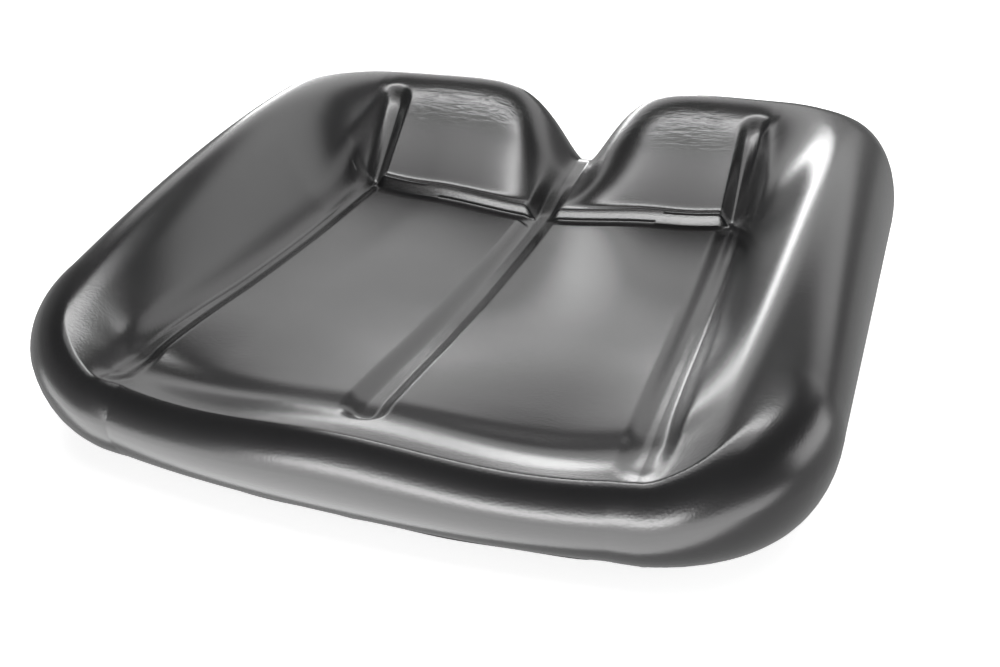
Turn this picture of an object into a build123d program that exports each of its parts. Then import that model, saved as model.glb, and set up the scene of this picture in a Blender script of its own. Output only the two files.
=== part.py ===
# Operator seat for a ride-on garden machine: a dished foam cushion in a moulded vinyl cover on a pressed steel pan.
# Millimetres. X to the sitter's right, Y to the back, Z up. The origin is the middle of the footprint, on the floor.
import os

from build123d import *

os.makedirs("parts", exist_ok=True)

# Outline of the cushion seen from above
seat_length = 450.0
front_width = 428.0
rear_width = 480.0
front_corner = 86.0
rear_corner = 85.0
front_bow = 25.0
rear_bow = 9.0

# Heights above the floor
rim_front = 58.0
rim_middle = 107.0
rim_rear = 114.0
panel_height = 46.0
roll_height = 57.0
trough_drop = 3.0
panel_cup = 6.0

# Where the dished top turns, from the edges of the cushion inwards
rim_margin = 38.0
bolster_width = 77.0
roll_margin = 35.0
lobe_margin = 35.0
lobe_depth = 85.0
panel_flat = 45.0

# Edges of the cushion
rim_radius = 24.0
rim_climb_share = 0.62
tuck_radius = 30.0
hem_height = 3.0
skin = 2.0

# Moulded grooves in the top
groove_width = 14.0
groove_depth = 6.0
cross_groove_gap = 6.0
side_groove_front_margin = 23.0
side_groove_rear_margin = 37.0
centre_groove_front_margin = 47.0
centre_groove_rear_margin = 29.0

# Notch between the two back lobes
notch_floor = 56.0
notch_half = 14.0
notch_sill = 5.0
notch_half_high = 33.0
notch_shoulder = 90.0
notch_flare = 82.0
notch_clear = 5.0
notch_lift = 4.0
notch_fall = 24.0

# Steel pan and its weld nuts
pan_inset = 24.0
pan_height = 9.5
pan_sheet = 1.5
pan_bend = 4.0
bolt_pitch_x = 203.0
bolt_pitch_y = 286.0
bolt_clearance = 9.0
vent_bore = 16.0
nut_across_flats = 13.0
nut_height = 6.5
nut_bore = 6.8

# Reach of the cutting bodies past the cushion
overrun = 25.0
head_room = 40.0
ceiling = max(rim_front, rim_middle, rim_rear) + head_room
half_length = seat_length / 2
panel_half = front_width / 2 - bolster_width
rim_roll = min(rim_radius, rim_climb_share * (bolster_width - rim_margin))
roll_crest = roll_margin - half_length
lobe_crest = half_length - lobe_margin
lobe_foot = lobe_crest - lobe_depth
roll_start = lobe_foot - panel_flat
half_reach = max(front_width, rear_width) / 2 + overrun


def ease(t):
    t = min(max(t, 0.0), 1.0)
    return t * t * (3 - 2 * t)


def half_width(y):
    share = (y + half_length) / seat_length
    return front_width / 2 + (rear_width - front_width) / 2 * share


def rim_crest(y):
    # Parabola through the rim heights at the front, the middle and the rear
    t = min(max(y / half_length, -1.0), 1.0)
    slope = (rim_rear - rim_front) / 2
    bend = (rim_rear + rim_front) / 2 - rim_middle
    return rim_middle + slope * t + bend * t * t


def panel_level(x, y):
    # Sitting panel: rolled up at the front between two leg troughs, slightly cupped behind them
    forward = min(max((roll_start - y) / (roll_start - roll_crest), 0.0), 1.0)
    across = min(abs(x) / panel_half, 1.0) ** 2
    middle = panel_height + (roll_height - panel_height) * forward**2
    return middle + across * (panel_cup * (1 - ease(forward)) - trough_drop * ease(forward))


def top_level(x, y):
    # The panel climbs to the side bolsters and to the back lobes
    floor = panel_level(x, y)
    bolster = ease((abs(x) - panel_half) / (half_width(y) - rim_margin - panel_half))
    lobe = ease((y - lobe_foot) / (lobe_crest - lobe_foot))
    return floor + (rim_crest(y) - floor) * (1 - (1 - bolster) * (1 - lobe))


def station_xs():
    crest = half_width(0) - rim_margin
    climb = [panel_half + (crest - panel_half) * share for share in (0.12, 0.4, 0.7, 1.0)]
    right = [panel_half * share for share in (0.33, 0.66, 0.92)] + climb + [crest + rim_margin / 2, half_reach]
    return [-x for x in reversed(right)] + [0.0] + right


def station_ys():
    front, rear = -half_length - overrun, half_length + overrun
    panel = [roll_crest + (lobe_foot - roll_crest) * share for share in (0.0, 0.15, 0.35, 0.55, 0.75, 0.92)]
    lobes = [lobe_foot + (lobe_crest - lobe_foot) * share for share in (0.12, 0.4, 0.7, 1.0)]
    return [front, (front + roll_crest) / 2] + panel + lobes + [(rear + lobe_crest) / 2, rear]


def dish(drop):
    # The space above the dished top, lowered by drop
    xs = station_xs()
    spread = [(x + half_reach) / (2 * half_reach) for x in xs]
    with BuildPart() as space:
        for y in station_ys():
            crown = Edge.make_spline([(x, top_level(x, y) - drop) for x in xs], parameters=spread)
            with BuildSketch(Plane.XZ.offset(-y)):
                with BuildLine():
                    add(crown)
                    Polyline(crown @ 1, (half_reach, ceiling), (-half_reach, ceiling), crown @ 0)
                make_face()
        loft()
    return space.part


def outline(inset):
    # Bowed trapezoid with round corners, taken inwards by inset
    with BuildSketch() as plan:
        with BuildLine():
            front = ThreePointArc(
                (-front_width / 2, front_bow - half_length),
                (0, -half_length),
                (front_width / 2, front_bow - half_length),
            )
            right = Line(front @ 1, (rear_width / 2, half_length - rear_bow))
            rear = ThreePointArc(right @ 1, (0, half_length), (-rear_width / 2, half_length - rear_bow))
            Line(rear @ 1, front @ 0)
        make_face()
        fillet(plan.vertices().group_by(Axis.Y)[0], front_corner)
        fillet(plan.vertices().group_by(Axis.Y)[-1], rear_corner)
        if inset:
            offset(amount=-inset)
    return plan.sketch


def grooves(inset):
    # Two side grooves, a centre groove and a cross groove that joins them
    wide = groove_width + 2 * inset
    side_length = seat_length - side_groove_front_margin - side_groove_rear_margin
    side_middle = (side_groove_front_margin - side_groove_rear_margin) / 2
    centre_length = seat_length - centre_groove_front_margin - centre_groove_rear_margin
    centre_middle = (centre_groove_front_margin - centre_groove_rear_margin) / 2
    with BuildPart() as channels:
        with BuildSketch():
            with Locations((-panel_half, side_middle), (panel_half, side_middle)):
                SlotCenterToCenter(side_length, wide, rotation=90)
            with Locations((0, centre_middle)):
                SlotCenterToCenter(centre_length, wide, rotation=90)
            with Locations((0, lobe_foot - cross_groove_gap)):
                Rectangle(2 * panel_half, wide)
        extrude(amount=ceiling)
        add(dish(groove_depth + inset), mode=Mode.INTERSECT)
    return channels.part


def notch(inset):
    # Saddle between the back lobes: it leaves the panel at a slope and falls away over the rear wall
    stations = (
        (lobe_foot - inset, -notch_lift),
        (lobe_crest, 0.0),
        (half_length, notch_fall / 3),
        (half_length + overrun, notch_fall),
    )
    half_high = notch_half_high + inset
    half_flare = half_high + notch_flare
    with BuildPart() as saddle:
        for y, fall in stations:
            low = notch_floor - fall - inset
            shoulder = notch_shoulder - fall - inset
            brow = rim_rear + notch_clear - fall - inset
            wall = [
                (notch_half + inset, low + notch_sill),
                (half_high, shoulder),
                (half_high + notch_flare / 3, shoulder + (brow - shoulder) / 2),
                (half_flare, brow),
            ]
            points = [(-x, z) for x, z in reversed(wall)] + [(0, low)] + wall
            spread = [0.5 + x / (2 * half_flare) for x, z in points]
            valley = Edge.make_spline(points, parameters=spread)
            with BuildSketch(Plane.XZ.offset(-y)):
                with BuildLine():
                    add(valley)
                    Polyline(valley @ 1, (half_flare, ceiling), (-half_flare, ceiling), valley @ 0)
                make_face()
        loft()
    return saddle.part


def cushion_form(inset):
    # Whole cushion, every face taken inwards by inset
    with BuildPart() as form:
        with BuildSketch(Plane.XY.offset(inset)):
            add(outline(inset))
        extrude(amount=ceiling - head_room / 2)
        fillet(form.faces().sort_by(Axis.Z)[0].edges(), tuck_radius - inset)
        add(dish(inset), mode=Mode.SUBTRACT)
        crown = form.faces().filter_by(GeomType.BSPLINE).sort_by(SortBy.AREA)[-1]
        fillet(crown.outer_wire().edges(), rim_roll - inset)
        add(grooves(inset), mode=Mode.SUBTRACT)
        add(notch(inset), mode=Mode.SUBTRACT)
    return form.part


cushion_outer = cushion_form(0.0)
cushion_inner = cushion_form(skin)

# Moulded vinyl cover, trimmed to a hem just above the floor
with BuildPart() as vinyl_cover:
    add(cushion_outer)
    add(cushion_inner, mode=Mode.SUBTRACT)
    split(bisect_by=Plane.XY.offset(hem_height), keep=Keep.TOP)

# Pressed steel pan with a turned-down rim, four bolt holes and a vent
with BuildPart() as base_pan:
    with BuildSketch():
        add(outline(pan_inset))
    extrude(amount=pan_height)
    fillet(base_pan.faces().sort_by(Axis.Z)[-1].edges(), pan_bend)
    offset(amount=-pan_sheet, openings=base_pan.faces().sort_by(Axis.Z)[0])
    with Locations((0, 0, pan_height)):
        with GridLocations(bolt_pitch_x, bolt_pitch_y, 2, 2):
            Hole(bolt_clearance / 2, 2 * pan_sheet)
        Hole(vent_bore / 2, 2 * pan_sheet)

# Weld nuts on the upper side of the pan, bedded in the foam
with BuildPart() as weld_nuts:
    with BuildSketch(Plane.XY.offset(pan_height)):
        with GridLocations(bolt_pitch_x, bolt_pitch_y, 2, 2):
            RegularPolygon(nut_across_flats / 2, 6, major_radius=False)
            Circle(nut_bore / 2, mode=Mode.SUBTRACT)
    extrude(amount=nut_height)

# Moulded foam core between the cover and the pan
with BuildPart() as foam_core:
    add(cushion_inner)
    split(bisect_by=Plane.XY.offset(hem_height), keep=Keep.TOP)
    with BuildSketch():
        add(outline(pan_inset))
    extrude(amount=pan_height, mode=Mode.SUBTRACT)
    with BuildSketch(Plane.XY.offset(pan_height)):
        with GridLocations(bolt_pitch_x, bolt_pitch_y, 2, 2):
            RegularPolygon(nut_across_flats / 2, 6, major_radius=False)
    extrude(amount=nut_height, mode=Mode.SUBTRACT)

vinyl_cover.part.label = "vinyl_cover"
foam_core.part.label = "foam_core"
base_pan.part.label = "base_pan"
weld_nuts.part.label = "weld_nuts"

export_step(vinyl_cover.part, "parts/vinyl_cover.step")
export_step(foam_core.part, "parts/foam_core.step")
export_step(base_pan.part, "parts/base_pan.step")
export_step(weld_nuts.part, "parts/weld_nuts.step")
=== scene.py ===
import math

import bpy
from mathutils import Matrix, Vector


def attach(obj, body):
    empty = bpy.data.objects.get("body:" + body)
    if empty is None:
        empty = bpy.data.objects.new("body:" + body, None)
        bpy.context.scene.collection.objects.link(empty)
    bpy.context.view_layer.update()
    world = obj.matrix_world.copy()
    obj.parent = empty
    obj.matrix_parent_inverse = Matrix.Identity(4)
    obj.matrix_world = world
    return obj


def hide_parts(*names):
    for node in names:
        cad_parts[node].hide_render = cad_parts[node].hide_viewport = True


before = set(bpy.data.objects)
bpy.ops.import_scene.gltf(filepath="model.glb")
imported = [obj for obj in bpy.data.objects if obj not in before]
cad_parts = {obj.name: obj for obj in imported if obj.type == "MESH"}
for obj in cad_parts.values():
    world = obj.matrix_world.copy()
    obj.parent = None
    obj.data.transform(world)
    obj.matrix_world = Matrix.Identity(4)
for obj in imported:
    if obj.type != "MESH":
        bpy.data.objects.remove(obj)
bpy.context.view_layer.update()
mm = 0.001
print("frame loaded:", sorted(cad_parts))


def ease(t):
    t = min(max(t, 0.0), 1.0)
    return t * t * (3 - 2 * t)


def mix(a, b, t):
    return a + (b - a) * t


def softMin(a, b, reach):   # smaller of two values, with the corner between them rounded off
    h = max(reach - abs(a - b), 0.0) / reach
    return min(a, b) - h * h * reach / 4


# Cushion: everything in millimetres until the vertices are written

cushion = {
    # outline seen from above
    "length": 450.0, "frontHalf": 214.0, "rearHalf": 240.0, "frontEdge": -226.5,
    "frontCorner": 86.0, "rearCorner": 85.0, "frontBow": 26.0, "rearBow": 9.0,
    # crest of the rim, and the roll from it down to the hem
    "rimFront": 58.0, "rimMiddle": 107.0, "rimRear": 114.0,
    "crestInset": 35.0, "crestInsetFront": 12.5, "tuck": 29.0, "tuckFront": 32.0, "rollPower": 0.34,
    "bulgeFront": 45.0, "bulgeRear": 62.0, "bulgeShare": 0.64, "bulgeRound": 12.0,
    "bolsterFoot": 0.25, "bolsterTop": 0.34,
    # the part that is sat on: places along the seat, with the heights of its middle, leg troughs and side grooves
    "panelHalf": 137.0, "troughPlace": 88.0,
    "middleLine": (
        (-225.0, 54.6), (-214.0, 54.6), (-190.0, 52.0), (-175.0, 51.6), (-141.0, 49.6),
        (-100.0, 46.4), (-50.0, 44.0), (0.0, 43.0), (50.0, 43.0), (106.0, 44.5),
    ),
    "troughLine": (
        (-225.0, 49.4), (-212.0, 49.4), (-190.0, 46.6), (-175.0, 47.0), (-155.0, 48.2),
        (-120.0, 49.4), (-78.0, 49.0), (2.0, 48.3), (43.0, 48.8), (106.0, 51.0),
    ),
    "sideLine": (
        (-225.0, 52.0), (-212.0, 52.2), (-190.0, 52.4), (-175.0, 54.2), (-155.0, 56.0), (-120.0, 55.0),
        (-78.0, 52.8), (-40.0, 52.0), (2.0, 52.0), (43.0, 53.2), (106.0, 56.0),
    ),
    # shallow dip behind the front roll
    "valleyDepth": 1.4, "valleyInset": 39.0, "valleyReach": (20.0, 15.0),
    "valleyFade": -165.0, "valleyEnd": -125.0, "valleyHalf": 130.0, "valleySideFade": 45.0,
    # back lobes, the corners beyond them and the notch between them
    "lobeFoot": 106.0, "lobeCrest": 197.0, "lobeFootShare": 0.06, "lobeTopShare": 0.5,
    "cornerFoot": 40.0, "cornerOverlap": 6.0, "cornerBlend": 24.0,
    "notchPlace": 5.0, "notchHalf": 4.0, "notchReach": 29.0, "notchPower": 1.5, "notchSill": 0.19,
    "saddleEnd": 222.0, "saddleRound": 0.1,
    # hem and the backing below it; the backing's dark colour is partly the cover's cut edge and partly painted
    # contact shadow under the hem
    "hem": 3.2, "hemLip": 1.0, "hemLap": 0.1, "panInset": 23.4, "panTop": 10.2,
    "backingFoot": 0.3, "backingSetback": 1.4,
}

grooves = {
    "depth": 5.2, "floorHalf": 3.0, "edgeHalf": 14.0,   # soft walls of the lengthwise grooves
    "sideFront": -192.0, "sideBack": 158.0, "sideFade": 34.0, "sideFrontShare": 0.3,
    "centreFront": -183.0, "centreBack": 190.0, "centreFade": (108.0, 62.0),
    "crossPlace": 99.0, "crossDip": 3.0, "crossDipReach": 18.0,
    "crossDepth": 2.7, "crossFloor": 4.6, "crossEdge": 11.0,
    "crossLip": 7.1, "lipRise": 5.4, "lipFall": 55.0,   # the lip is the steep wall below the lobes
    "wallFoot": 0.12, "wallTop": 0.3,
}

raggedHem = {
    "waves": ((131.0, 8.0, 2.0), (160.0, 8.0, 3.4), (177.0, 7.0, 2.8)),   # place across, reach, drop
    "ripple": 0.35, "rippleLength": (11.0, 17.0), "lowest": 0.15,
}

meshPlan = {
    # rings from the underside round the hem and the rim, then inwards
    "underside": 4, "tuckRings": 9, "rollRings": 18, "slopeRings": 24, "slopePower": 1.2,
    "innerHalf": 147.0, "innerFront": -170.0, "innerBack": 140.0,   # the straight grid inside the rings
    "fine": 0.5, "coarse": 4.0, "band": 12.0, "halvings": 40, "smoothAngle": 50.0,
}


def halfWidth(y):
    share = (y + cushion["length"] / 2) / cushion["length"]
    return mix(cushion["frontHalf"], cushion["rearHalf"], share)


def rimCrest(y):
    t = min(max(y / (cushion["length"] / 2), -1.0), 1.0)
    slope = (cushion["rimRear"] - cushion["rimFront"]) / 2
    bend = (cushion["rimRear"] + cushion["rimFront"]) / 2 - cushion["rimMiddle"]
    return cushion["rimMiddle"] + slope * t + bend * t * t


def groovePart(distance, floorHalf, edgeHalf):   # 1 on the floor of a groove, 0 outside it
    return 1 - ease((distance - floorHalf) / (edgeHalf - floorHalf))


def ramp(t, foot, top):   # straight climb from 0 to 1 with a short round foot and a longer round top
    t = min(max(t, 0.0), 1.0)
    slope = 1 / (1 - (foot + top) / 2)
    if t < foot:
        return slope * t * t / (2 * foot)
    if t > 1 - top:
        return 1 - slope * (1 - t) ** 2 / (2 * top)
    return slope * (t - foot / 2)


def crossDip(x):   # the cross groove bows forward in the middle
    return grooves["crossDip"] * (1 - min(abs(x) / cushion["panelHalf"], 1.0) ** 2)


def grooveDepth(x, y):
    x = abs(x)
    sideMiss = max(grooves["sideFront"] - y, y - grooves["sideBack"], 0.0)
    side = groovePart(math.hypot(x - cushion["panelHalf"], sideMiss), grooves["floorHalf"], grooves["edgeHalf"])
    side *= mix(grooves["sideFrontShare"], 1.0, ease((y - grooves["sideFront"]) / grooves["sideFade"]))
    centreMiss = max(grooves["centreFront"] - y, y - grooves["centreBack"], 0.0)
    centre = groovePart(math.hypot(x, centreMiss), grooves["floorHalf"], grooves["edgeHalf"])
    centre *= 1 - ease((y - grooves["centreFade"][0]) / grooves["centreFade"][1])
    behind = y - grooves["crossPlace"] + crossDip(x)
    beside = (1 - side) * (1 - centre)
    away = math.hypot(behind, max(x - cushion["panelHalf"], 0.0))
    if behind > 0:
        climb = (away - grooves["crossFloor"]) / (grooves["crossLip"] - grooves["crossFloor"])
        wall = ramp(climb, grooves["wallFoot"], grooves["wallTop"])
        lift = 1 - ease((behind - grooves["crossLip"]) / grooves["lipFall"]) if x < cushion["panelHalf"] else 0.0
        cross = mix(grooves["crossDepth"], -grooves["lipRise"] * lift, wall)
    else:
        cross = grooves["crossDepth"] * groovePart(away, grooves["crossFloor"], grooves["crossEdge"])
    return mix(grooves["depth"], cross, beside)


def frontCornerPoint(turn):
    startX = cushion["frontHalf"] - cushion["frontCorner"]
    startY = cushion["frontEdge"] + cushion["frontBow"] * (startX / cushion["frontHalf"]) ** 2
    endY = startY + cushion["frontCorner"]
    reachX = halfWidth(endY) - startX
    reachY = cushion["frontCorner"]
    point = Vector((startX + reachX * math.sin(turn), startY + reachY * (1 - math.cos(turn))))
    out = Vector((math.sin(turn) / reachX, -math.cos(turn) / reachY)).normalized()
    return point, out


def frontDistance(x, y):   # how far a place lies behind the front edge, round the corners too
    startX = cushion["frontHalf"] - cushion["frontCorner"]
    x = abs(x)
    bowed = cushion["frontEdge"] + cushion["frontBow"] * (min(x, startX) / cushion["frontHalf"]) ** 2
    if x < startX:
        return y - bowed
    middleY = bowed + cushion["frontCorner"]
    reachX = halfWidth(middleY) - startX
    across = (x - startX) / reachX
    ahead = min(y - middleY, 0.0) / cushion["frontCorner"]
    return cushion["frontCorner"] * (1 - math.hypot(across, ahead))


def frontValley(x, y):
    past = frontDistance(x, y) - cushion["valleyInset"]
    dip = ease(1 - abs(past) / cushion["valleyReach"][past > 0])
    fade = ease((cushion["valleyEnd"] - y) / (cushion["valleyEnd"] - cushion["valleyFade"]))
    fade *= 1 - ease((abs(x) - cushion["valleyHalf"]) / cushion["valleySideFade"])
    return cushion["valleyDepth"] * dip * fade


def heightAlong(line, y):   # smooth curve through a row of places and heights
    y = min(max(y, line[0][0]), line[-1][0])
    k = max(n for n in range(len(line) - 1) if line[n][0] <= y)

    def slopeAt(n):
        low, high = max(n - 1, 0), min(n + 1, len(line) - 1)
        return (line[high][1] - line[low][1]) / (line[high][0] - line[low][0])

    step = line[k + 1][0] - line[k][0]
    t = (y - line[k][0]) / step
    bend = slopeAt(k) * step * t * (1 - t) ** 2 - slopeAt(k + 1) * step * t * t * (1 - t)
    return mix(line[k][1], line[k + 1][1], ease(t)) + bend


def panelHeight(x, y):
    x = min(abs(x), cushion["panelHalf"])
    trough = heightAlong(cushion["troughLine"], y)
    if x < cushion["troughPlace"]:
        return mix(heightAlong(cushion["middleLine"], y), trough, ease(x / cushion["troughPlace"]))
    outward = (x - cushion["troughPlace"]) / (cushion["panelHalf"] - cushion["troughPlace"])
    return mix(trough, heightAlong(cushion["sideLine"], y), outward ** 2)


def padHeight(x, y):   # the dished top without its grooves
    panel = panelHeight(x, y)
    rise = (abs(x) - cushion["panelHalf"]) / (halfWidth(y) - cushion["crestInset"] - cushion["panelHalf"])
    bolster = ramp(rise, cushion["bolsterFoot"], cushion["bolsterTop"])
    flank = max(abs(x - cushion["notchPlace"]) - cushion["notchHalf"], 0.0) / cushion["notchReach"]
    notch = 1 - math.exp(-(flank ** cushion["notchPower"]))
    climb = (y - cushion["lobeFoot"]) / (cushion["lobeCrest"] - cushion["lobeFoot"])
    bend = ease((y - cushion["cornerFoot"]) / (cushion["lobeCrest"] - cushion["cornerFoot"]))
    # the corner beyond a lobe has no crease at its foot
    outside = ease((abs(x) - cushion["panelHalf"] + cushion["cornerOverlap"]) / cushion["cornerBlend"])
    along = (y - cushion["lobeFoot"]) / (cushion["saddleEnd"] - cushion["lobeFoot"])
    saddle = cushion["notchSill"] * ramp(along, cushion["saddleRound"], cushion["saddleRound"])
    lobe = mix(saddle, ramp(climb, cushion["lobeFootShare"], cushion["lobeTopShare"]), notch)
    lobe = mix(lobe, bend, outside)
    return panel + (rimCrest(y) - panel) * (1 - (1 - bolster) * (1 - lobe)) - frontValley(x, y)


def topHeight(side, place):
    return padHeight(side * place.x, place.y) - grooveDepth(place.x, place.y)


def spacedStops(low, high, marks):   # fine steps near each groove, coarse ones between
    stops = [low]
    while stops[-1] < high:
        near = min(abs(stops[-1] - mark) for mark in marks)
        share = ease((near - meshPlan["band"]) / meshPlan["band"])
        stops.append(stops[-1] + mix(meshPlan["fine"], meshPlan["coarse"], share))
    stretch = (high - low) / (stops[-1] - low)
    return [low + (stop - low) * stretch for stop in stops]


rightStops = spacedStops(0.0, meshPlan["innerHalf"], (0.0, cushion["panelHalf"]))
columnX = [-x for x in reversed(rightStops[1:])] + rightStops
rowY = spacedStops(meshPlan["innerFront"], meshPlan["innerBack"], (grooves["crossPlace"],))
ringCount = meshPlan["underside"] + meshPlan["tuckRings"] + meshPlan["rollRings"] + meshPlan["slopeRings"]
gridX = len(columnX) - 1 + 2 * ringCount
gridY = len(rowY) - 1 + 2 * ringCount


def rearCornerPoint(turn):
    startY = cushion["length"] / 2 - cushion["rearBow"] - cushion["rearCorner"]
    startX = halfWidth(startY) - cushion["rearCorner"]
    endY = cushion["length"] / 2 - cushion["rearBow"] * (startX / cushion["rearHalf"]) ** 2
    reachX = cushion["rearCorner"]
    reachY = endY - startY
    point = Vector((startX + reachX * math.sin(turn), startY + reachY * math.cos(turn)))
    out = Vector((math.sin(turn) / reachX, math.cos(turn) / reachY)).normalized()
    return point, out


def endEdgePoint(x, front):   # outline at the front or rear, for a place across the seat
    corner = frontCornerPoint if front else rearCornerPoint
    start = corner(0.0)[0].x
    if x > start:
        reach = corner(math.pi / 2)[0].x - start
        return corner(math.asin((x - start) / reach))
    if front:
        middle, bow, sign = cushion["frontEdge"], cushion["frontBow"] / cushion["frontHalf"] ** 2, -1
    else:
        middle, bow, sign = cushion["length"] / 2, -cushion["rearBow"] / cushion["rearHalf"] ** 2, 1
    point = Vector((x, middle + bow * x * x))
    out = Vector((-sign * 2 * bow * x, sign)).normalized()
    return point, out


def sideEdgePoint(y):   # outline at the right side, for a place along the seat
    frontEnd = frontCornerPoint(math.pi / 2)[0]
    rearEnd = rearCornerPoint(math.pi / 2)[0]
    if y < frontEnd.y:
        return frontCornerPoint(math.acos(1 - (y - frontCornerPoint(0.0)[0].y) / cushion["frontCorner"]))
    if y > rearEnd.y:
        reach = rearCornerPoint(0.0)[0].y - rearEnd.y
        return rearCornerPoint(math.acos((y - rearEnd.y) / reach))
    lean = (cushion["rearHalf"] - cushion["frontHalf"]) / cushion["length"]
    return Vector((halfWidth(y), y)), Vector((1.0, -lean)).normalized()


def cornerTurn(front, end):   # how far round a corner the straight mesh lines reach
    corner = frontCornerPoint if front else rearCornerPoint
    if end:
        edge = endEdgePoint(meshPlan["innerHalf"], front)[1]
    else:
        edge = sideEdgePoint(rowY[0] if front else rowY[-1])[1]
    low, high = 0.0, math.pi / 2
    for step in range(meshPlan["halvings"]):
        middle = (low + high) / 2
        if math.atan2(corner(middle)[1].x, abs(corner(middle)[1].y)) < math.atan2(edge.x, abs(edge.y)):
            low = middle
        else:
            high = middle
    return low


cornerSpan = {(front, end): cornerTurn(front, end) for front in (True, False) for end in (True, False)}


def rayOf(i, j):   # ring number, outline point, outward direction and inner end of a mesh line
    fromSide = gridX - i
    front = j < gridY / 2
    fromEnd = j if front else gridY - j
    innerY = rowY[0] if front else rowY[-1]
    if fromSide >= ringCount:
        x = columnX[i - ringCount]
        return fromEnd, *endEdgePoint(x, front), Vector((x, innerY))
    if fromEnd >= ringCount:
        y = rowY[j - ringCount]
        return fromSide, *sideEdgePoint(y), Vector((columnX[-1], y))
    ring = min(fromSide, fromEnd)
    towardsEnd = fromEnd <= fromSide
    share = (max(fromSide, fromEnd) - ring) / (ringCount - ring)
    turn = mix(math.pi / 4, cornerSpan[front, towardsEnd], share)
    corner = frontCornerPoint if front else rearCornerPoint
    return ring, *corner(turn), Vector((columnX[-1], innerY))


def hemHeight(point, side):
    height = cushion["hem"]
    if point.y < 0 and side > 0:
        for place, reach, drop in raggedHem["waves"]:
            height -= drop * math.exp(-(((point.x - place) / reach) ** 2))
    across, along = raggedHem["rippleLength"]
    ripple = raggedHem["ripple"] * math.sin(point.x / across) * math.sin(point.y / along)
    return max(height + ripple, raggedHem["lowest"])


def rimPoint(ring, edge, out, inner, side):
    facing = max(-out.y, 0.0) ** 2   # 1 at the front edge, 0 at the sides and the rear
    crestInset = mix(cushion["crestInset"], cushion["crestInsetFront"], facing)
    tuck = mix(cushion["tuck"], cushion["tuckFront"], facing)
    crest = edge - out * crestInset
    crestTop = topHeight(side, crest)
    slope = topHeight(side, crest - out) - crestTop
    share = (edge.y + cushion["length"] / 2) / cushion["length"]
    bulge = mix(cushion["bulgeFront"], cushion["bulgeRear"], share)
    bulge = softMin(bulge, cushion["bulgeShare"] * crestTop, cushion["bulgeRound"])
    hem = hemHeight(edge, side)
    hemTurn = math.acos(1 - hem / bulge)
    hemInset = tuck * (1 - math.sin(hemTurn))
    tuckStart = meshPlan["underside"]
    rollStart = tuckStart + meshPlan["tuckRings"]
    slopeStart = rollStart + meshPlan["rollRings"]
    if ring < tuckStart:
        inset, height = (
            (cushion["panInset"], cushion["panTop"]),
            (cushion["panInset"], cushion["backingFoot"]),
            (hemInset + cushion["backingSetback"], cushion["backingFoot"]),
            (hemInset + cushion["hemLip"], hem - cushion["hemLap"]),
        )[ring]
        return edge - out * inset, height
    if ring < rollStart:
        turn = mix(hemTurn, math.pi / 2, (ring - tuckStart) / meshPlan["tuckRings"])
        return edge - out * tuck * (1 - math.sin(turn)), bulge * (1 - math.cos(turn))
    if ring < slopeStart:
        turn = (ring - rollStart) / meshPlan["rollRings"] * math.pi / 2
        power = 1 + cushion["rollPower"] * facing   # flattens the front of the roll between two tighter bends
        inset = crestInset * (1 - math.cos(turn) ** power)
        lean = slope * (crestInset - inset) * (inset / crestInset) ** 2   # leaves the top at the top's own slope
        return edge - out * inset, bulge + (crestTop - bulge) * math.sin(turn) ** power - lean
    share = ((ring - slopeStart) / meshPlan["slopeRings"]) ** meshPlan["slopePower"]
    place = crest.lerp(inner, share)
    return place, topHeight(side, place)


def cushionPoint(i, j):
    side = 1 if i >= gridX / 2 else -1
    folded = i if side > 0 else gridX - i
    if min(gridX - folded, j, gridY - j) >= ringCount:
        place = Vector((columnX[folded - ringCount], rowY[j - ringCount]))
        behind = (place.y - grooves["crossPlace"]) / grooves["crossDipReach"]
        place.y -= crossDip(place.x) * math.exp(-(behind ** 2))   # the rows bend with the cross groove
        height = topHeight(side, place)
    else:
        place, height = rimPoint(*rayOf(folded, j), side)
    return Vector((side * place.x, place.y, height)) * mm


def makeCushion():
    bpy.ops.object.select_all(action="DESELECT")
    bpy.ops.mesh.primitive_grid_add(x_subdivisions=gridX, y_subdivisions=gridY, size=2)
    piece = bpy.context.active_object
    piece.name = "seatCushion"
    ringOf = []
    for vertex in piece.data.vertices:
        i = round((vertex.co.x + 1) / 2 * gridX)
        j = round((vertex.co.y + 1) / 2 * gridY)
        ringOf.append(min(i, j, gridX - i, gridY - j))
        vertex.co = cushionPoint(i, j)
    for face in piece.data.polygons:   # the backing shows below the hem, its dark colour also standing in for the contact shadow there
        face.material_index = int(max(ringOf[corner] for corner in face.vertices) < meshPlan["underside"])
    bpy.ops.object.mode_set(mode="EDIT")
    bpy.ops.mesh.select_mode(type="EDGE")
    bpy.ops.mesh.select_all(action="DESELECT")
    bpy.ops.mesh.select_non_manifold()
    bpy.ops.mesh.edge_face_add()
    bpy.ops.mesh.select_all(action="SELECT")
    bpy.ops.mesh.normals_make_consistent(inside=False)
    bpy.ops.object.mode_set(mode="OBJECT")
    bpy.ops.object.shade_smooth_by_angle(angle=math.radians(meshPlan["smoothAngle"]))
    return piece


def newMaterial(name):
    material = bpy.data.materials.new(name)
    material.use_nodes = True
    return material, material.node_tree, material.node_tree.nodes["Principled BSDF"]


def addNode(tree, kind, settings=None, **inputs):
    node = tree.nodes.new(kind)
    for key, value in (settings or {}).items():
        setattr(node, key, value)
    for key, value in inputs.items():
        socket = node.inputs[key.replace("_", " ")]
        if isinstance(value, bpy.types.NodeSocket):
            tree.links.new(value, socket)
        else:
            socket.default_value = value
    return node


def addTone(tree, shader, value, look):   # base colour between the two tones of a look
    tone = addNode(tree, "ShaderNodeValToRGB", Fac=value)
    tone.color_ramp.elements[0].color = look["dark"]
    tone.color_ramp.elements[1].color = look["light"]
    tree.links.new(tone.outputs["Color"], shader.inputs["Base Color"])


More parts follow.
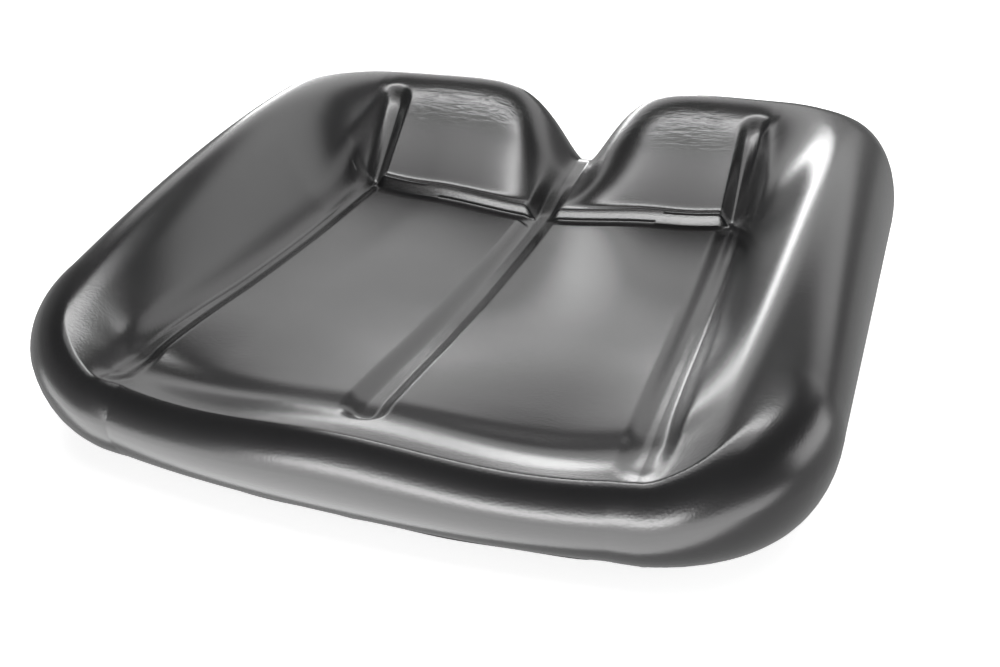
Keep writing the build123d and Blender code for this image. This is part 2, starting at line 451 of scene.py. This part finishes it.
def addRoughness(tree, shader, value, look):
    low, high = look["roughness"]
    rough = addNode(tree, "ShaderNodeMapRange", Value=value, To_Min=low, To_Max=high)
    tree.links.new(rough.outputs["Result"], shader.inputs["Roughness"])


def fadeIn(tree, value, span, most=1.0):   # from 0 to most over a span of places
    fade = addNode(tree, "ShaderNodeMapRange", Value=value, From_Min=span[0], From_Max=span[1], To_Max=most)
    return fade.outputs["Result"]


def product(tree, first, second):
    node = addNode(tree, "ShaderNodeMath", {"operation": "MULTIPLY"})
    tree.links.new(first, node.inputs[0])
    tree.links.new(second, node.inputs[1])
    return node.outputs["Value"]


vinylLook = {
    "dark": (0.006, 0.006, 0.0063, 1), "light": (0.010, 0.010, 0.0104, 1), "roughness": (0.21, 0.29), "ior": 1.75,
    "patchScale": 14.0, "patchDetail": 4.0, "grainScale": 850.0, "grainStrength": 0.25, "grainHeight": 0.00012,
    # creases that run across the tops of the lobes; the spans are in metres
    "creaseScale": (70.0, 320.0, 320.0), "creaseDetail": 6.0, "creaseDistortion": 0.8, "creaseHeight": 0.0005,
    "creaseAcross": (0.128, 0.108), "creaseMost": 0.9, "creaseRise": (0.086, 0.098), "creaseBack": (0.182, 0.168),
}


def makeVinyl():
    material, tree, shader = newMaterial("blackVinyl")
    place = addNode(tree, "ShaderNodeTexCoord").outputs["Object"]
    patch = addNode(tree, "ShaderNodeTexNoise", Vector=place,
                    Scale=vinylLook["patchScale"], Detail=vinylLook["patchDetail"])
    addTone(tree, shader, patch.outputs["Fac"], vinylLook)
    addRoughness(tree, shader, patch.outputs["Fac"], vinylLook)
    shader.inputs["IOR"].default_value = vinylLook["ior"]
    grain = addNode(tree, "ShaderNodeTexVoronoi", Vector=place, Scale=vinylLook["grainScale"])
    bump = addNode(tree, "ShaderNodeBump", Height=grain.outputs["Distance"],
                   Strength=vinylLook["grainStrength"], Distance=vinylLook["grainHeight"])
    stretched = addNode(tree, "ShaderNodeMapping", Vector=place, Scale=vinylLook["creaseScale"])
    folds = addNode(tree, "ShaderNodeTexNoise", Vector=stretched.outputs["Vector"], Scale=1.0,
                    Detail=vinylLook["creaseDetail"], Distortion=vinylLook["creaseDistortion"])
    axes = addNode(tree, "ShaderNodeSeparateXYZ", Vector=place)
    across = addNode(tree, "ShaderNodeMath", {"operation": "ABSOLUTE"}, Value=axes.outputs["X"])
    between = fadeIn(tree, across.outputs["Value"], vinylLook["creaseAcross"], vinylLook["creaseMost"])
    high = fadeIn(tree, axes.outputs["Z"], vinylLook["creaseRise"])
    front = fadeIn(tree, axes.outputs["Y"], vinylLook["creaseBack"])
    where = product(tree, product(tree, high, front), between)
    creased = addNode(tree, "ShaderNodeBump", Strength=where, Distance=vinylLook["creaseHeight"],
                      Height=folds.outputs["Fac"], Normal=bump.outputs["Normal"])
    tree.links.new(creased.outputs["Normal"], shader.inputs["Normal"])
    return material


# painted shadow: these dark felt tones also stand in for the contact shadow between the hem and the floor
feltAndShadowLook = {
    "dark": (0.02, 0.02, 0.02, 1), "light": (0.06, 0.06, 0.06, 1), "roughness": 0.9,
    "fibreScale": 420.0, "fibreDetail": 5.0, "fibreStrength": 0.5, "fibreHeight": 0.0006,
}


# dark strip below the hem: the cover's cut edge, coloured dark as painted contact shadow
def makeBackingAndShadow():
    material, tree, shader = newMaterial("feltAndPaintedShadow")
    place = addNode(tree, "ShaderNodeTexCoord").outputs["Object"]
    fibre = addNode(tree, "ShaderNodeTexNoise", Vector=place,
                    Scale=feltAndShadowLook["fibreScale"], Detail=feltAndShadowLook["fibreDetail"])
    addTone(tree, shader, fibre.outputs["Fac"], feltAndShadowLook)
    shader.inputs["Roughness"].default_value = feltAndShadowLook["roughness"]
    bump = addNode(tree, "ShaderNodeBump", Height=fibre.outputs["Fac"],
                   Strength=feltAndShadowLook["fibreStrength"], Distance=feltAndShadowLook["fibreHeight"])
    tree.links.new(bump.outputs["Normal"], shader.inputs["Normal"])
    return material


paintLook = {
    "name": "panPaint", "dark": (0.012, 0.012, 0.012, 1), "light": (0.035, 0.035, 0.036, 1),
    "roughness": (0.35, 0.6), "metallic": 0.0, "speckleScale": 300.0, "speckleDetail": 3.0,
}
zincLook = {
    "name": "zincPlate", "dark": (0.48, 0.48, 0.5, 1), "light": (0.7, 0.7, 0.71, 1),
    "roughness": (0.3, 0.5), "metallic": 1.0, "speckleScale": 500.0, "speckleDetail": 3.0,
}


def makeSpeckled(look):   # paint or plating on the steel
    material, tree, shader = newMaterial(look["name"])
    place = addNode(tree, "ShaderNodeTexCoord").outputs["Object"]
    speckle = addNode(tree, "ShaderNodeTexNoise", Vector=place,
                      Scale=look["speckleScale"], Detail=look["speckleDetail"])
    addRoughness(tree, shader, speckle.outputs["Fac"], look)
    addTone(tree, shader, speckle.outputs["Fac"], look)
    shader.inputs["Metallic"].default_value = look["metallic"]
    return material


seatCushion = makeCushion()
seatCushion.data.materials.append(makeVinyl())
seatCushion.data.materials.append(makeBackingAndShadow())
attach(seatCushion, "root")
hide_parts("vinyl_cover", "foam_core")
print("cushion:", len(seatCushion.data.polygons), "faces")

for node, material in (("base_pan", makeSpeckled(paintLook)), ("weld_nuts", makeSpeckled(zincLook))):
    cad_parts[node].data.materials.clear()
    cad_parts[node].data.materials.append(material)
print("pan and nuts finished")


studio = {
    "camera": (0.2030, -0.5630, 0.3132), "azimuth": 19.47, "elevation": 27.71, "roll": -0.37,
    "lens": 37.32, "sensor": 36.0, "clipStart": 0.01,
    "floorSize": 12.0, "floorColour": (0.9, 0.9, 0.9, 1), "floorRoughness": 0.8, "floorLift": 0.78, "floorGlow": 0.5,
    "white": (1, 1, 1, 1), "skyBand": (0.12, 0.5), "horizonLevel": 0.25, "zenithLevel": 0.1,
    "lamps": (   # name, place, what it points at, size, power
        ("backStrip", (-2.0, 4.0, 0.85), (-2.0, 0.0, 0.85), (3.0, 0.8), 58.0),
        ("backSoftbox", (-0.2, 1.9, 1.35), (-0.2, 0.0, 1.35), (5.2, 1.2), 28.0),
        ("topStrip", (0.0, 0.28, 1.5), (0.0, 0.28, 0.0), (1.6, 0.3), 13.0),
        ("topSoftbox", (0.0, -0.1, 1.5), (0.0, 0.1, 0.0), (1.6, 0.7), 6.0),
        ("frontCard", (0.05, -0.5, 0.002), (0.05, -0.5, 1.0), (1.1, 0.56), 4.6),
        ("sideSoftbox", (2.2, 0.5, 0.5), (0.0, 0.0, 0.1), (1.4, 0.8), 9.0),
        ("frontSweep", (-0.4, -3.0, 0.3), (-0.4, 0.0, 0.3), (3.0, 0.58), 64.0),
    ),
}


def makeFloor():
    bpy.ops.object.select_all(action="DESELECT")
    bpy.ops.mesh.primitive_plane_add(size=studio["floorSize"])
    floor = bpy.context.active_object
    floor.name = "studioFloor"
    material, tree, shader = newMaterial("whiteFloor")
    shader.inputs["Base Color"].default_value = studio["floorColour"]
    shader.inputs["Roughness"].default_value = studio["floorRoughness"]
    shader.inputs["Emission Color"].default_value = studio["white"]
    ray = addNode(tree, "ShaderNodeLightPath")
    lift = addNode(tree, "ShaderNodeMapRange", Value=ray.outputs["Is Camera Ray"],
                   To_Min=0.0, To_Max=studio["floorLift"])
    tree.links.new(lift.outputs["Result"], shader.inputs["Emission Strength"])
    glow = addNode(tree, "ShaderNodeEmission", Strength=studio["floorGlow"])
    blend = addNode(tree, "ShaderNodeMixShader", Fac=ray.outputs["Is Glossy Ray"])
    tree.links.new(shader.outputs["BSDF"], blend.inputs[1])
    tree.links.new(glow.outputs["Emission"], blend.inputs[2])
    tree.links.new(blend.outputs["Shader"], tree.nodes["Material Output"].inputs["Surface"])
    floor.data.materials.append(material)


def makeWorld():
    world = bpy.data.worlds.new("studioWorld")
    bpy.context.scene.world = world
    world.use_nodes = True
    tree = world.node_tree
    background = tree.nodes["Background"]
    background.inputs["Color"].default_value = studio["white"]
    low, high = studio["skyBand"]
    place = addNode(tree, "ShaderNodeTexCoord").outputs["Generated"]
    upward = addNode(tree, "ShaderNodeSeparateXYZ", Vector=place)
    sky = addNode(tree, "ShaderNodeMapRange", {"interpolation_type": "SMOOTHSTEP"}, Value=upward.outputs["Z"],
                  From_Min=low, From_Max=high, To_Min=studio["horizonLevel"], To_Max=studio["zenithLevel"])
    ray = addNode(tree, "ShaderNodeLightPath")
    level = addNode(tree, "ShaderNodeMix", Factor=ray.outputs["Is Camera Ray"], A=sky.outputs["Result"], B=1.0)
    tree.links.new(level.outputs["Result"], background.inputs["Strength"])


def makeLamps():
    for name, place, aim, size, power in studio["lamps"]:
        data = bpy.data.lights.new(name, "AREA")
        data.shape = "RECTANGLE"
        data.size, data.size_y = size
        data.energy = power
        lamp = bpy.data.objects.new(name, data)
        lamp.location = place
        lamp.visible_camera = False
        lamp.rotation_euler = (Vector(aim) - Vector(place)).to_track_quat("-Z", "Y").to_euler()
        bpy.context.scene.collection.objects.link(lamp)


def makeCamera():
    data = bpy.data.cameras.new("photoCamera")
    data.lens = studio["lens"]
    data.sensor_width = studio["sensor"]
    data.clip_start = studio["clipStart"]
    camera = bpy.data.objects.new("photoCamera", data)
    turn = Matrix.Rotation(math.radians(studio["azimuth"]), 4, "Z")
    tilt = Matrix.Rotation(math.radians(90 - studio["elevation"]), 4, "X")
    roll = Matrix.Rotation(math.radians(studio["roll"]), 4, "Z")
    camera.matrix_world = Matrix.Translation(studio["camera"]) @ turn @ tilt @ roll
    bpy.context.scene.collection.objects.link(camera)
    bpy.context.scene.camera = camera


makeFloor()
makeWorld()
makeLamps()
makeCamera()
bpy.context.scene.view_settings.view_transform = "Standard"
print("studio ready")
